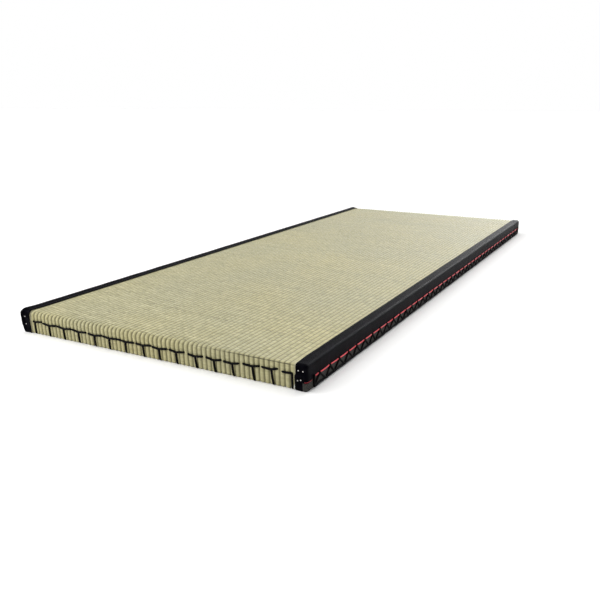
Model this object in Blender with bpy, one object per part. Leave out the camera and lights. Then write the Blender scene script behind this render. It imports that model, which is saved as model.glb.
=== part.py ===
"""A tatami mat, lying flat on the floor.

A firm board wrapped in woven rush, with a dark backing cloth under it that is turned up
the long sides, and a black border cloth along each long side. Each border is folded down
over the ends of the mat and held there with a few round-headed pins.

Frame: metres, +X across the mat, +Y along it, +Z up. The origin is on the floor, under
the middle of the mat. Run it with: blender --background --python part.py
"""

import math

import bmesh
import bpy
from mathutils import Vector

MM = 0.001

# ---- Driving dimensions -------------------------------------------------------------

# The finished mat, over its borders.
MAT_WIDTH = 800 * MM
MAT_LENGTH = 2000 * MM
MAT_HEIGHT = 58 * MM

# Cloth thicknesses, and the gap between two pieces that touch.
BORDER_THICKNESS = 1.2 * MM
BACKING_THICKNESS = 1.0 * MM
GAP = 0.3 * MM

# The rush-covered board inside the cloths.
BOARD_HALF_WIDTH = MAT_WIDTH / 2 - BORDER_THICKNESS - GAP
BOARD_HALF_LENGTH = MAT_LENGTH / 2 - BORDER_THICKNESS - GAP
BOARD_HEIGHT = MAT_HEIGHT - BORDER_THICKNESS - GAP
SIDE_EDGE_RADIUS = 4.5 * MM
END_EDGE_RADIUS = 10 * MM
FLOOR_EDGE_RADIUS = 3 * MM
UPRIGHT_CORNER_RADIUS = 12 * MM
CORNER_SQUARENESS = 6  # power of the upright corners' outline: 2 is a circle, and more is squarer
CROWN = 1.4 * MM  # the middle of the top above its rim
END_LEAN = 3 * MM  # how far each end is drawn in at the floor
RUSH_HEM = 45 * MM  # rush turned under each end

# The border cloth.
BORDER_WIDTH = 27 * MM  # on the top, and down each end
SEAM_HEIGHT = 24.5 * MM  # floor to the border's lower edge on a long side
FOLD_INSET = 7 * MM  # board's side to the outer edge of the folded end, below the seam

# The pins in the border's folded ends: a domed head.
PIN_RADIUS = 1.6 * MM
PIN_DOME = 1.0 * MM
PIN_SEGMENTS = 12

# Each pin's place on its folded end, in mm: in from the mat's long side, up from the floor.
# side is -1 for the left border and +1 for the right; end is -1 for the near end, +1 for the far.
PIN_COLUMNS = ("side", "end", "inset", "height")
PIN_ROWS = (
    (+1, -1, 18.5, 44.5),
    (+1, -1, 8.0, 44.0),
    (+1, -1, 20.5, 22.5),
    (+1, -1, 13.5, 24.5),
    (-1, -1, 10.5, 42.0),
    (-1, -1, 11.0, 23.0),
    (+1, +1, 19.0, 43.0),
    (+1, +1, 8.5, 45.0),
    (+1, +1, 18.0, 21.5),
    (+1, +1, 10.0, 24.0),
    (-1, +1, 18.0, 44.5),
    (-1, +1, 9.0, 42.5),
    (-1, +1, 19.5, 23.5),
    (-1, +1, 10.5, 21.0),
)

# name: (red, green, blue) as linear values, roughness, metallic.
FINISHES = {
    "rush": ((0.52, 0.47, 0.29), 0.75, 0.0),
    "border_cloth": ((0.012, 0.011, 0.015), 0.85, 0.0),
    "backing_cloth": ((0.035, 0.035, 0.030), 0.90, 0.0),
    "pin_steel": ((0.45, 0.45, 0.46), 0.35, 1.0),
}

# ---- Lines worked out from them -----------------------------------------------------

BORDER_LINE = MAT_WIDTH / 2 - BORDER_WIDTH
FOLD_LINE = BOARD_HALF_WIDTH - FOLD_INSET
HEM_LINE = BOARD_HALF_LENGTH - RUSH_HEM
RECESS = BACKING_THICKNESS + GAP  # the board's underside above the floor, over the backing
ARC_STEPS = 3  # faces in half of each rounded edge
ARC_INSETS = [1 - math.tan(math.pi / 4 * step / ARC_STEPS) for step in range(ARC_STEPS)]  # of the radius
CORNER_INSETS = (0.1, 0.22, 0.45, 1.0)  # of an upright corner's radius, close together where it bends most
FOOT_LINE = FLOOR_EDGE_RADIUS * ARC_INSETS[-1]
CROWN_CUTS = 4  # on each side of the middle
LENGTH_CUTS = 5
NEARLY = 0.01 * MM


# ---- The board's skin ---------------------------------------------------------------


def soften(point):
    """Moves a point on the skin of the plain block to its place on the soft board."""
    across, along, height = point
    centre_x = max(-BOARD_HALF_WIDTH + UPRIGHT_CORNER_RADIUS, min(across, BOARD_HALF_WIDTH - UPRIGHT_CORNER_RADIUS))
    centre_y = max(-BOARD_HALF_LENGTH + UPRIGHT_CORNER_RADIUS, min(along, BOARD_HALF_LENGTH - UPRIGHT_CORNER_RADIUS))
    out = Vector((across - centre_x, along - centre_y))
    crown = crown_at(across, along) if height > BOARD_HEIGHT - NEARLY else 0.0
    if out.length == 0:
        return Vector((across, along, height + crown + floor_lift(along, height)))

    inset = UPRIGHT_CORNER_RADIUS - max(abs(out.x), abs(out.y))
    outline = out / (abs(out.x) ** CORNER_SQUARENESS + abs(out.y) ** CORNER_SQUARENESS) ** (1 / CORNER_SQUARENESS)
    out.normalize()
    top_radius = SIDE_EDGE_RADIUS * out.x**2 + END_EDGE_RADIUS * out.y**2
    inset, depth = rounded(inset, BOARD_HEIGHT - height, top_radius)
    inset, height = rounded(inset, BOARD_HEIGHT - depth, FLOOR_EDGE_RADIUS)
    inset += END_LEAN * (1 - height / BOARD_HEIGHT) ** 2 * out.y**2
    reach = UPRIGHT_CORNER_RADIUS - inset
    height += crown + floor_lift(along, height)
    return Vector((centre_x + outline.x * reach, centre_y + outline.y * reach, height))


def rounded(inset, depth, radius):
    """Rounds a square edge: distances in from the outline and from the top or the floor."""
    if inset >= radius or depth >= radius:
        return inset, depth
    corner = Vector((radius - inset, radius - depth)).normalized() * radius
    return radius - corner.x, radius - corner.y


def crown_at(across, along):
    """The top's rise: nothing under the borders, all of CROWN along the middle."""
    over_width = max(0.0, 1 - (across / BORDER_LINE) ** 2)
    over_length = 1 - (along / BOARD_HALF_LENGTH) ** 8
    return CROWN * over_width * over_length


def floor_lift(along, height):
    """The underside stands off the floor by the backing's thickness, between the rush hems."""
    if abs(along) > HEM_LINE:
        return 0.0
    return RECESS * max(0.0, 1 - height / (2 * FLOOR_EDGE_RADIUS))


def cut_lines():
    """Where the plain block is cut across X, Y and Z, so that every edge and seam has a line."""
    half_gap = GAP / 2
    corner_insets = [UPRIGHT_CORNER_RADIUS * part for part in CORNER_INSETS]
    x_insets = [SIDE_EDGE_RADIUS * part for part in ARC_INSETS] + corner_insets
    y_insets = [END_EDGE_RADIUS * part for part in ARC_INSETS] + corner_insets
    x_lines = [BOARD_HALF_WIDTH - inset for inset in x_insets]
    x_lines += [BORDER_LINE, FOLD_LINE - half_gap, FOLD_LINE + half_gap]
    x_lines += [BORDER_LINE * step / (CROWN_CUTS + 1) for step in range(1, CROWN_CUTS + 1)]
    y_lines = [BOARD_HALF_LENGTH - inset for inset in y_insets]
    y_lines += [HEM_LINE - GAP, HEM_LINE, HEM_LINE + GAP]
    y_lines += [HEM_LINE * step / (LENGTH_CUTS + 1) for step in range(1, LENGTH_CUTS + 1)]
    z_lines = [BOARD_HEIGHT - r * part for r in (SIDE_EDGE_RADIUS, END_EDGE_RADIUS) for part in ARC_INSETS]
    z_lines += [FLOOR_EDGE_RADIUS * part for part in ARC_INSETS]
    z_lines += [SEAM_HEIGHT - half_gap, SEAM_HEIGHT + half_gap]
    both_sides = [[sign * line for sign in (-1, 1) for line in lines] for lines in (x_lines, y_lines)]
    return both_sides[0] + [0.0], both_sides[1] + [0.0], z_lines


def board_skin(keeps=None):
    """The soft board's skin as a bmesh, or only the faces whose plain-block centre keeps() takes."""
    skin = bmesh.new()
    bmesh.ops.create_cube(skin, size=1.0)
    size = Vector((2 * BOARD_HALF_WIDTH, 2 * BOARD_HALF_LENGTH, BOARD_HEIGHT))
    bmesh.ops.translate(skin, vec=(0, 0, 0.5), verts=skin.verts)
    bmesh.ops.scale(skin, vec=size, verts=skin.verts)
    for axis, lines in enumerate(cut_lines()):
        normal = Vector((0, 0, 0))
        normal[axis] = 1
        for line in lines:
            geometry = skin.verts[:] + skin.edges[:] + skin.faces[:]
            bmesh.ops.bisect_plane(skin, geom=geometry, dist=1e-6, plane_co=normal * line, plane_no=normal)

    left_out = [face for face in skin.faces if keeps and not keeps(face.calc_center_median())]
    for vertex in skin.verts:
        vertex.co = soften(vertex.co)
    skin.normal_update()
    if keeps:
        for vertex, outward in [(vertex, vertex.normal.copy()) for vertex in skin.verts]:
            vertex.co += outward * GAP
        bmesh.ops.delete(skin, geom=left_out, context="FACES")
    return skin


# ---- Making the objects -------------------------------------------------------------


def finish(name):
    colour, roughness, metallic = FINISHES[name]
    material = bpy.data.materials.new(name)
    material.use_nodes = True
    shader = material.node_tree.nodes["Principled BSDF"]
    shader.inputs["Base Color"].default_value = (*colour, 1.0)
    shader.inputs["Roughness"].default_value = roughness
    shader.inputs["Metallic"].default_value = metallic
    return material


def add_object(name, surface, material, smooth_angle=35):
    """Turns a bmesh into an object with its own mesh and material."""
    mesh = bpy.data.meshes.new(name)
    surface.to_mesh(mesh)
    surface.free()
    mesh.shade_smooth()
    mesh.set_sharp_from_angle(angle=math.radians(smooth_angle))
    mesh.materials.append(material)
    piece = bpy.data.objects.new(name, mesh)
    bpy.context.scene.collection.objects.link(piece)
    return piece


def add_cloth(name, keeps, thickness, material):
    """A sheet that lies a gap off the board's skin, over the faces that keeps() takes."""
    piece = add_object(name, board_skin(keeps), material)
    solidify = piece.modifiers.new("Cloth thickness", "SOLIDIFY")
    solidify.thickness = thickness
    solidify.offset = 1.0
    return piece


def border_keeps(side):
    """The border's faces: on the top, down to the seam on the side, and the folded ends."""

    def keeps(centre):
        across = centre.x * side
        above_seam = centre.z > SEAM_HEIGHT + GAP / 2
        on_end = abs(centre.y) > BOARD_HALF_LENGTH - GAP
        folded_end = on_end and FOOT_LINE < centre.z and across < FOLD_LINE - GAP / 2
        return across > BORDER_LINE and (above_seam or folded_end)

    return keeps


def backing_keeps(centre):
    """The backing's faces: the underside between the rush hems, and the sides up to the seam."""
    between_hems = abs(centre.y) < HEM_LINE - GAP
    underside = centre.z < GAP / 2
    up_the_side = abs(centre.x) > FOLD_LINE + GAP / 2 and centre.z < SEAM_HEIGHT - GAP / 2
    if underside:
        return between_hems
    return up_the_side and (between_hems or centre.z > FOOT_LINE)


def end_face(side, end, inset, height):
    """The point on the board's end skin at this place, and the way the skin faces there."""
    step = 0.5 * MM
    place = Vector((side * (MAT_WIDTH / 2 - inset), end * BOARD_HALF_LENGTH, height))
    across = soften(place + Vector((step, 0, 0))) - soften(place - Vector((step, 0, 0)))
    upward = soften(place + Vector((0, 0, step))) - soften(place - Vector((0, 0, step)))
    return soften(place), (across.cross(upward) * -end).normalized()


def pin_head():
    """A shallow dome, flat on its back, with its back at the origin and its crown at +Z."""
    dome = bmesh.new()
    bmesh.ops.create_uvsphere(dome, u_segments=PIN_SEGMENTS, v_segments=PIN_SEGMENTS // 2, radius=PIN_RADIUS)
    geometry = dome.verts[:] + dome.edges[:] + dome.faces[:]
    bmesh.ops.bisect_plane(dome, geom=geometry, plane_co=(0, 0, 0), plane_no=(0, 0, 1), clear_inner=True)
    bmesh.ops.holes_fill(dome, edges=[edge for edge in dome.edges if edge.is_boundary])
    bmesh.ops.scale(dome, vec=(1, 1, PIN_DOME / PIN_RADIUS), verts=dome.verts)
    bmesh.ops.recalc_face_normals(dome, faces=dome.faces)
    return dome


def add_pins(material):
    """Every pin head, standing a gap off the border cloth it was pushed through."""
    counts = {}
    for row in PIN_ROWS:
        pin = dict(zip(PIN_COLUMNS, row))
        corner = ("near_" if pin["end"] < 0 else "far_") + ("left" if pin["side"] < 0 else "right")
        counts[corner] = counts.get(corner, 0) + 1
        place, outward = end_face(pin["side"], pin["end"], pin["inset"] * MM, pin["height"] * MM)
        piece = add_object(f"pin_{corner}_{counts[corner]}", pin_head(), material)
        piece.location = place + outward * (GAP + BORDER_THICKNESS + GAP)
        piece.rotation_mode = "QUATERNION"
        piece.rotation_quaternion = outward.to_track_quat("Z", "Y")


def build():
    for thing in list(bpy.data.objects):
        bpy.data.objects.remove(thing)
    add_object("rush_board", board_skin(), finish("rush"))
    border = finish("border_cloth")
    add_cloth("border_left", border_keeps(-1), BORDER_THICKNESS, border)
    add_cloth("border_right", border_keeps(+1), BORDER_THICKNESS, border)
    add_cloth("backing", backing_keeps, BACKING_THICKNESS, finish("backing_cloth"))
    add_pins(finish("pin_steel"))


build()
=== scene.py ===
# %% [markdown]
# # A tatami mat, piece by piece
#
# A tatami mat is a firm board wrapped in woven rush. A dark backing cloth covers its underside and
# comes up the long sides. A black border is sewn along each long side and folded down over the ends,
# where a few pins hold it. Coarse black stitches tie the rush down along the ends, and red ones hold
# the border to the sides.
#
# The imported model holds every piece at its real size, so it is loaded first and all the rest is built
# on it.

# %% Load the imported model
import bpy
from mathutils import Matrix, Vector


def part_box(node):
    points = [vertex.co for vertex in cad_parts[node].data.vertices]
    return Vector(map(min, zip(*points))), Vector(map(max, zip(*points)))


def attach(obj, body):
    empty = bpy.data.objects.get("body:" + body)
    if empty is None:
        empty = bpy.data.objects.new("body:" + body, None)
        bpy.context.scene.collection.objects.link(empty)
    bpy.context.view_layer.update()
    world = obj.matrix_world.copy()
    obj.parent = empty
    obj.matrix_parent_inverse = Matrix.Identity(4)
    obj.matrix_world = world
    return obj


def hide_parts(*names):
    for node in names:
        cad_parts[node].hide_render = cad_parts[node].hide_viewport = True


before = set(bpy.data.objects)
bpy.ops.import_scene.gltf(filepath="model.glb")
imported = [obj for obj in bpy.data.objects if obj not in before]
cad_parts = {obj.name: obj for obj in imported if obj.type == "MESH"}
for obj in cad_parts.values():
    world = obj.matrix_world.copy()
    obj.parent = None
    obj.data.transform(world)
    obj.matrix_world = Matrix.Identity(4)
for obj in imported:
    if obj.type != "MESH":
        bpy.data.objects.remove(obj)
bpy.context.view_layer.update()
print("nodes in the frame:", len(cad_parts))

# %% Modules and the unit
import math
from functools import partial

import bmesh
import bpy
import numpy as np
from mathutils import Matrix, Vector, noise

MM = 0.001  # Blender works in metres, and a maker's rule in millimetres

# %% [markdown]
# ## The sizes
#
# The board's outline comes from its node's box, and its height is what is left under the border. The
# soft edges are arcs: a tight one along the sides, where the border is pulled hard, and a wide roll
# at the ends.

# %% Read the sizes off the model
BORDER_THICKNESS = 1.2 * MM
BACKING_THICKNESS = 1.0 * MM
GAP = 0.3 * MM  # air between two pieces that touch
board_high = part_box("rush_board")[1]
border_low, border_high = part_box("border_right")
SIDE_ROLL = 4.5 * MM
END_ROLL = 10 * MM
FOOT_ROLL = 3 * MM
CORNER = 12 * MM  # an upright corner bends over this distance
SQUARENESS = 6  # power of its outline: 2 is a circle, and more is squarer
END_LEAN = 3 * MM  # each end is drawn in this far at the floor
HALF_WIDTH = board_high.x
HEIGHT = border_high.z - BORDER_THICKNESS - GAP
HALF_LENGTH = board_high.y + END_LEAN * (END_ROLL / HEIGHT) ** 2
BORDER_LINE = border_low.x  # the border's inner edge on the top
FOLD_LINE = HALF_WIDTH - 7 * MM  # the outer edge of the border's folded end, below the seam
HEM_LINE = HALF_LENGTH - 45 * MM  # the rush is turned under this far
SEAM = 24.5 * MM  # floor to the border's lower edge on a long side
HALF_SIZE = np.array((HALF_WIDTH, HALF_LENGTH, 2 * HEIGHT))
CROWN = board_high.z - HEIGHT
RECESS = BACKING_THICKNESS + GAP  # the board stands off the floor by this, over the backing
print(f"board {2 * HALF_WIDTH:.4f} x {2 * HALF_LENGTH:.4f} x {HEIGHT:.4f} m, crown {CROWN / MM:.1f} mm")

# %% [markdown]
# ## A soft block
#
# Every cloth on the mat lies on the same soft block. A plain block is cut into a grid, and each point
# is then moved: near an edge it slides onto an arc, the ends lean in, and the top rises a little in
# the middle. A Bevel modifier would be quicker, but a grid can have a line on every rib, fold and
# seam, and each grid cell remembers where it lay on the flat cloth.


# %% Round the block's edges
def smooth(value, low, high):
    """0 below low, 1 above high, and an easy slope between."""
    share = np.clip((value - low) / (high - low), 0, 1)
    return share * share * (3 - 2 * share)


def rounded(inset, depth, radius):
    """Moves points of a squared edge onto an arc: distances in from the outline and from the face."""
    near = (inset < radius) & (depth < radius)
    length = np.maximum(np.hypot(radius - inset, radius - depth), 1e-9)
    arc_inset = radius - (radius - inset) / length * radius
    arc_depth = radius - (radius - depth) / length * radius
    return np.where(near, arc_inset, inset), np.where(near, arc_depth, depth)


def soften(block, end_roll=END_ROLL):
    """Takes points on the plain block to their places on the soft board."""
    across, along, height = block.T
    centre_x = np.clip(across, CORNER - HALF_WIDTH, HALF_WIDTH - CORNER)
    centre_y = np.clip(along, CORNER - HALF_LENGTH, HALF_LENGTH - CORNER)
    out_x = across - centre_x
    out_y = along - centre_y
    inset = CORNER - np.maximum(abs(out_x), abs(out_y))
    length = np.hypot(out_x, out_y)
    at_edge = length > 0
    end_share = (out_y / np.where(at_edge, length, 1)) ** 2
    top_roll = SIDE_ROLL * (1 - end_share) + end_roll * end_share
    inset, depth = rounded(inset, HEIGHT - height, top_roll)
    inset, low = rounded(inset, HEIGHT - depth, FOOT_ROLL)
    inset = inset + END_LEAN * (1 - low / HEIGHT) ** 2 * end_share
    outline = (abs(out_x) ** SQUARENESS + abs(out_y) ** SQUARENESS) ** (1 / SQUARENESS)
    reach = (CORNER - inset) * at_edge / np.where(at_edge, outline, 1)
    over_width = np.maximum(0, 1 - (across / BORDER_LINE) ** 2)
    over_length = 1 - np.minimum(1, abs(along) / HALF_LENGTH) ** 8
    crown = CROWN * over_width * over_length * (height > HEIGHT - 0.01 * MM)
    between_hems = abs(along) < HEM_LINE
    lift = RECESS * between_hems * np.maximum(0, 1 - height / (2 * FOOT_ROLL))
    settled = np.where(at_edge, low, height) + crown + lift
    return np.stack([centre_x + out_x * reach, centre_y + out_y * reach, settled], axis=1)


# %% Cut the block into a grid
def spaced(start, stop, step):
    """Evenly spaced lines from start to stop, about a step apart."""
    return list(np.linspace(start, stop, max(2, round(abs(stop - start) / step) + 1)))


def mirrored(edge, insets):
    """Lines this many millimetres in from an edge, and the same on the other side."""
    lines = [edge - inset * MM for inset in insets]
    return lines + [-line for line in lines]


def flat_place(corners, axis, side):
    """Where a face's corners lay on the flat cloth, in metres from the middle of the mat."""
    across, along, height = corners[..., 0], corners[..., 1], corners[..., 2]
    if axis == 0:
        return np.stack([side * (HALF_WIDTH + HEIGHT - height), along], axis=-1)
    if axis == 1:
        return np.stack([across, side * (HALF_LENGTH + HEIGHT - height)], axis=-1)
    if side > 0:
        return np.stack([across, along], axis=-1)
    end = np.where(corners[..., 1].mean(axis=1, keepdims=True) < 0, -1, 1)
    return np.stack([across, end * (2 * HALF_LENGTH + HEIGHT - abs(along))], axis=-1)


def block_shell(x_lines, y_lines, z_lines, keeps):
    """The plain block's skin, cut at these lines: its points, its faces and their flat places.

    keeps(centres, axis, side) says which faces stay. axis is 0 for a long side, 1 for an end and 2
    for the top or the underside, and side is +1 or -1.
    """
    lines = [np.unique(np.round(cuts, 7)) for cuts in (x_lines, y_lines, z_lines)]
    counts = [len(cuts) for cuts in lines]
    all_places, all_flats = [], []
    for axis in range(3):
        u, v = [other for other in range(3) if other != axis]
        cells = np.indices((counts[u] - 1, counts[v] - 1)).reshape(2, -1).T
        for side in (-1, 1):
            steps = np.array([(0, 0), (1, 0), (1, 1), (0, 1)])
            if (side > 0) == (axis == 1):
                steps = steps[::-1]
            place = np.zeros((len(cells), 4, 3), int)
            place[..., u] = cells[:, None, 0] + steps[None, :, 0]
            place[..., v] = cells[:, None, 1] + steps[None, :, 1]
            place[..., axis] = 0 if side < 0 else counts[axis] - 1
            corners = np.stack([lines[n][place[..., n]] for n in range(3)], axis=-1)
            kept = keeps(corners.mean(axis=1), axis, side)
            all_places.append(place[kept])
            all_flats.append(flat_place(corners[kept], axis, side))
    places = np.concatenate(all_places)
    keys = (places[..., 0] * counts[1] + places[..., 1]) * counts[2] + places[..., 2]
    used, faces = np.unique(keys, return_inverse=True)
    i, rest = np.divmod(used, counts[1] * counts[2])
    j, k = np.divmod(rest, counts[2])
    points = np.stack([lines[0][i], lines[1][j], lines[2][k]], axis=1)
    return points, faces.reshape(-1, 4), np.concatenate(all_flats)


# %% Turn arrays into objects
def new_object(name, data):
    thing = bpy.data.objects.new(name, data)
    bpy.context.scene.collection.objects.link(thing)
    return thing


def new_piece(name, points, faces, material, flats=None):
    """A smooth mesh object. flats, if given, becomes a UV map named flat, in metres."""
    mesh = bpy.data.meshes.new(name)
    mesh.from_pydata(points.tolist(), [], list(map(list, faces)))
    if flats is not None:
        mesh.uv_layers.new(name="flat").uv.foreach_set("vector", flats.astype(np.float32).ravel())
    mesh.shade_smooth()
    mesh.materials.append(material)
    return new_object(name, mesh)


def thicken(piece, thickness):
    """Gives a cloth its thickness, away from the board."""
    cloth = piece.modifiers.new("Cloth thickness", "SOLIDIFY")
    cloth.thickness = thickness
    cloth.offset = 1.0


def outward(points, faces):
    """The direction that each point of a surface faces, averaged over the faces that meet there."""
    first, second = points[faces[:, 2]] - points[faces[:, 0]], points[faces[:, 3]] - points[faces[:, 1]]
    facing = np.cross(first, second)
    total = np.zeros_like(points)
    for corner in range(4):
        np.add.at(total, faces[:, corner], facing)
    return total / np.maximum(np.linalg.norm(total, axis=1, keepdims=True), 1e-12)


def off_board(block, lift):
    """Points standing off the soft board's upright sides by lift, and the way the sides face there."""
    centre = np.clip(block, CORNER - HALF_SIZE, HALF_SIZE - CORNER)
    out = (block - centre)[:, :2]
    facing = np.zeros_like(block)
    facing[:, :2] = np.sign(out) * abs(out) ** (SQUARENESS - 1)
    facing /= np.linalg.norm(facing, axis=1, keepdims=True)
    return soften(block) + facing * np.reshape(lift, (-1, 1)), facing


# %% [markdown]
# ## Colours and nodes
#
# Colours are written as the sRGB hex values that a dye chart gives. Blender's sockets want linear
# light, so one function converts them. Another adds a node of any kind, with its options and inputs.


# %% Helpers for materials
def colour(code):
    """A hex colour, such as "C8C49A", as linear red, green, blue and alpha."""
    parts = [int(code[n : n + 2], 16) / 255 for n in (0, 2, 4)]
    linear = [part / 12.92 if part <= 0.04045 else ((part + 0.055) / 1.055) ** 2.4 for part in parts]
    return (*linear, 1.0)


def fill(node, inputs):
    """Sets inputs, by name or in order: a socket is linked, a hex code or a number is the value."""
    for name, value in inputs.items() if isinstance(inputs, dict) else enumerate(inputs):
        if isinstance(value, bpy.types.NodeSocket):
            node.id_data.links.new(value, node.inputs[name])
        else:
            node.inputs[name].default_value = colour(value) if isinstance(value, str) else value


def add_node(tree, kind, inputs=(), operation=None, stops=(), **settings):
    """Adds a node and returns its outputs. stops are a colour ramp's (place, colour) pairs."""
    made = tree.nodes.new("ShaderNode" + kind)
    if operation:
        made.operation = operation
    for name, value in settings.items():
        setattr(made, name, value)
    fill(made, inputs)
    for number, (position, shade) in enumerate(stops):
        elements = made.color_ramp.elements
        element = elements[number] if number < 2 else elements.new(position)
        element.position = position
        element.color = colour(shade) if isinstance(shade, str) else shade
    return made.outputs


def new_material(name):
    """A material, its surface shader, and a function that adds a node to it."""
    material = bpy.data.materials.new(name)
    material.use_nodes = True
    tree = material.node_tree
    return material, tree.nodes["Principled BSDF"], partial(add_node, tree)


# %% [markdown]
# ## Dried rush
#
# The facing is soft rush (igusa), cut green, dried in clay and woven on a loom. Each stem is a little
# over a millimetre thick and lies across the mat. Pairs of hidden warp threads, about 12 mm apart,
# pull the stems down and leave round ribs that run along the mat. A stem that bulges over one rib
# passes under the next, which shifts the stems by half from rib to rib.
#
# Dried rush is pale straw with a grey-green cast and a waxy soft shine, and no two stems are alike.
# The ribs are real geometry further down. The stems are bump and colour, drawn 3 mm wide where real
# ones are 1.2 mm, which is too thin to show.

# %% Make the rush material
RIB_COUNT = 62
RIB = 2 * BORDER_LINE / RIB_COUNT
STEM = 3 * MM
STEM_WAVER = 1.4  # how far a stem strays from straight, in stems
ROW_SHARE = 0.35  # of a stem's tone that is the same all along it
STEM_TONES = ((0.0, "7E7953"), (1.0, "CFCBA6"), (0.3, "A29D76"), (0.55, "B0AB85"), (0.8, "BEB994"))
GROOVE_PAINTED_SHADE = 0.78
CREASE_FULL = 230 * MM  # from here to the right the near edge is creased sharply


def rush_material():
    material, shader, add = new_material("dried_rush_woven")
    flat = add("UVMap", uv_map="flat")["UV"]
    place = add("SeparateXYZ", [flat])
    rib_line = add("Math", [place["X"], RIB], "DIVIDE")[0]
    rib_number = add("Math", [rib_line], "FLOOR")[0]
    rib_share = add("Math", [rib_line], "FRACT")[0]
    half_turn = add("Math", [rib_number, 0.5], "MULTIPLY")[0]
    waver = add("TexNoise", {"Vector": flat, "Scale": 60.0, "Detail": 1.0})["Fac"]
    stem_line = add("Math", [place["Y"], STEM], "DIVIDE")[0]
    stem_line = add("Math", [stem_line, half_turn], "ADD")[0]
    stem_line = add("Math", [waver, STEM_WAVER, stem_line], "MULTIPLY_ADD")[0]
    stem_number = add("Math", [stem_line], "FLOOR")[0]
    stem_share = add("Math", [stem_line], "FRACT")[0]

    # Every stem has its own tone where it shows on a rib, and a weaker one along its whole length.
    cell = add("CombineXYZ", [rib_number, stem_number])[0]
    own_tone = add("TexWhiteNoise", {"Vector": cell}, noise_dimensions="2D")["Value"]
    row = add("CombineXYZ", [7.0, stem_number])[0]
    row_tone = add("TexWhiteNoise", {"Vector": row}, noise_dimensions="2D")["Value"]
    tone = add("Mix", {0: ROW_SHARE, 2: own_tone, 3: row_tone})[0]
    # Over the ends the stems are pressed side by side, so they differ less, the grooves are deeper and
    # their painted shade is wider.
    from_centre = add("Math", [place["Y"]], "ABSOLUTE")[0]
    on_end = add("MapRange", [from_centre, HALF_LENGTH - 12 * MM, HALF_LENGTH])[0]
    pressed = add("Math", [on_end, 0.65], "MULTIPLY")[0]
    tone = add("Mix", {0: pressed, 2: tone, 3: 0.62})[0]
    stems = add("ValToRGB", [tone], stops=STEM_TONES)[0]

    # Broad patches where the rush dried greener or yellower.
    patches = add("TexNoise", {"Vector": flat, "Scale": 3.2, "Detail": 3.0})["Fac"]
    patch_tint = add("ValToRGB", [patches], stops=((0.35, "F3F3EC"), (0.68, "FFFBE6")))[0]
    tinted = add("Mix", {0: 1.0, 6: stems, 7: patch_tint}, data_type="RGBA", blend_type="MULTIPLY")[2]

    # The stems dive under at the warp, and painted shade darkens the grooves there.
    from_crest = add("Math", [rib_share, 0.5], "SUBTRACT")[0]
    from_crest = add("Math", [from_crest], "ABSOLUTE")[0]
    start = add("MapRange", {0: on_end, 3: 0.27, 4: 0.17})[0]
    edges = [from_crest, start, 0.5, 0.0, GROOVE_PAINTED_SHADE]
    groove = add("MapRange", edges, interpolation_type="SMOOTHSTEP")[0]
    base = add("Mix", {0: groove, 6: tinted, 7: "5E5938"}, data_type="RGBA")[2]

    # Painted shade darkens the crease along the sharp part of the near edge, in a broken line.
    crease = add("Math", [place["Y"], -HALF_LENGTH - 3 * MM], "SUBTRACT")[0]
    crease = add("Math", [crease], "ABSOLUTE")[0]
    crease = add("MapRange", [crease, 0.5 * MM, 2.2 * MM, 1.0, 0.0])[0]
    sharp = add("MapRange", [place["X"], 80 * MM, CREASE_FULL])[0]
    patchy_shade = add("TexNoise", {"Vector": flat, "Scale": 75.0, "Detail": 2.0})["Fac"]
    patchy_shade = add("MapRange", [patchy_shade, 0.36, 0.56, 0.25, 1.0])[0]
    crease = add("Math", [crease, sharp], "MULTIPLY")[0]
    crease = add("Math", [crease, patchy_shade], "MULTIPLY")[0]
    base = add("Mix", {0: crease, 6: base, 7: "3A3522"}, data_type="RGBA")[2]

    # Beside each border the stems were never walked on or handled, and stay creamy.
    from_middle = add("Math", [place["X"]], "ABSOLUTE")[0]
    creamy = add("MapRange", [from_middle, BORDER_LINE - 4 * MM, BORDER_LINE - 2 * MM])[0]
    creamy = add("Math", [creamy, 0.55], "MULTIPLY")[0]
    base = add("Mix", {0: creamy, 6: base, 7: "CFCAA8"}, data_type="RGBA")[2]

    # Bump: a round back on every stem, and fine fibre along it.
    stem_back = add("Math", [stem_share, math.pi], "MULTIPLY")[0]
    stem_back = add("Math", [stem_back], "SINE")[0]
    fibre_place = add("Mapping", {"Vector": flat, "Scale": (140.0, 900.0, 1.0)})[0]
    fibre = add("TexNoise", {"Vector": fibre_place, "Scale": 1.0, "Detail": 2.0})["Fac"]
    relief = add("Math", [fibre, 0.35, stem_back], "MULTIPLY_ADD")[0]
    relief = add("Math", [own_tone, 0.5, relief], "MULTIPLY_ADD")[0]
    bump = add("Bump", {"Height": relief, "Distance": 0.35 * MM, "Strength": 0.8})[0]
    rough = add("MapRange", {0: tone, 3: 0.42, 4: 0.56})[0]
    fill(shader, {"Base Color": base, "Normal": bump, "Roughness": rough, "IOR": 1.45})
    fill(shader, {"Sheen Weight": 0.3, "Sheen Roughness": 0.3})
    return material


rush = rush_material()
print("rush: ribs", round(RIB / MM, 2), "mm apart, stems drawn", STEM / MM, "mm wide")

# %% [markdown]
# ## Where the end stitches go
#
# Along each end a thick black thread ties the facing to the board. Each stitch is a Y: two arms lie
# across the ribs and one leg runs down to the floor. They are sewn by hand, about 48 mm apart, and no
# two are alike. They are laid out before the rush, which is drawn in under them.

# %% Lay out the stitches of one end
STITCH_PITCH = 48.4 * MM
FIRST_STITCH = -358 * MM
STITCH_COUNT = 16
LEG_HEIGHT = 27.5 * MM
END_THREAD = 2.7 * MM  # radius
ARM_DEPTH = 0.3 * MM  # how far the thread's middle lies below the ribs' crests
LEG_END = 0.8 * MM  # above the floor


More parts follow.
